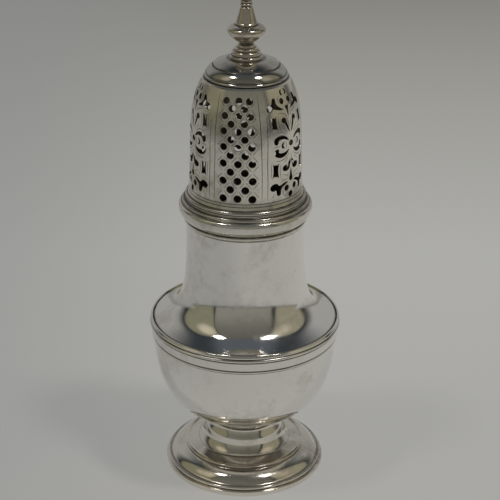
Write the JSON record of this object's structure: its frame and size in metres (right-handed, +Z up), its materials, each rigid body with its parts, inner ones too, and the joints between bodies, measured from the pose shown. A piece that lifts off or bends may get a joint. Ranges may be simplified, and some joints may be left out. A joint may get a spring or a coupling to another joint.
{
  "type": "pepper pot",
  "caption": "Polished silver pepper pot: baluster body with a moulded girdle on a stepped round foot, and a tall pierced cover with a turned finial that lifts off",
  "frame": {"origin": "centre of the foot's underside, on the table plane", "axes": "+Z up along the axis that the pot was turned on, -Y towards the viewer, +X to the viewer's right; the pierced pattern's front lattice panel is turned 8 degrees to the viewer's left of -Y"},
  "size_m": [0.0588, 0.0588, 0.1559],
  "materials": {
    "foot_silver": "polished silver, lightly tarnished in the creases",
    "body_silver": "polished silver with fine wear scratches",
    "moulding_silver": "polished silver mouldings with dark lines between the reeds",
    "cover_silver": "satin silver, hand pierced and engraved, brown tarnish by the edges",
    "finial_silver": "cast and turned silver, brown tarnish in the creases"
  },
  "bodies": {
    "pot": {"foot_rim": "foot_silver", "foot_base": "foot_silver", "spool": "foot_silver", "stem_collar": "moulding_silver", "bowl": "body_silver", "upper_body": "body_silver", "girdle_band": "moulding_silver", "neck_collar": "moulding_silver"},
    "cover": {"cover_sleeve": "cover_silver", "cover_rim": "cover_silver", "pierced_shell": "cover_silver", "cap_wire": "cover_silver", "cap": "cover_silver", "finial": "finial_silver"}
  },
  "joints": [
    {"name": "cover_lift", "type": "slide", "parent": "pot", "child": "cover", "axis": [0, 0, 1], "range_m": [0, 0.016]}
  ]
}
